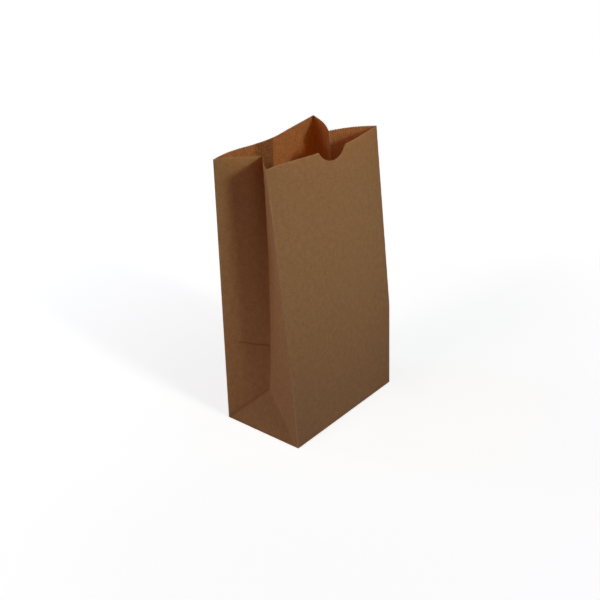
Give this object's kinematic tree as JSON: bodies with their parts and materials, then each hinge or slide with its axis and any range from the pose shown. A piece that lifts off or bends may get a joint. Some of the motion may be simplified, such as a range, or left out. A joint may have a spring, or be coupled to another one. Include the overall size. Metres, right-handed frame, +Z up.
{
  "type": "paper bag",
  "caption": "Open brown kraft paper bag with a square folded bottom, pleated side gussets, a toothed mouth and a half-round thumb notch in the front.",
  "frame": {"origin": "on the underside of the bottom, at the middle of its rectangle", "axes": "+Z up to the mouth, -Y out of the front panel that has the thumb notch, +X to the right as seen from the front"},
  "size_m": [0.1599, 0.0922, 0.281],
  "materials": {
    "kraft_paper": "unbleached brown kraft, matt, with fine fibres and pale cut edges"
  },
  "bodies": {
    "root": {"paper_bag": "kraft_paper"}
  },
  "joints": []
}
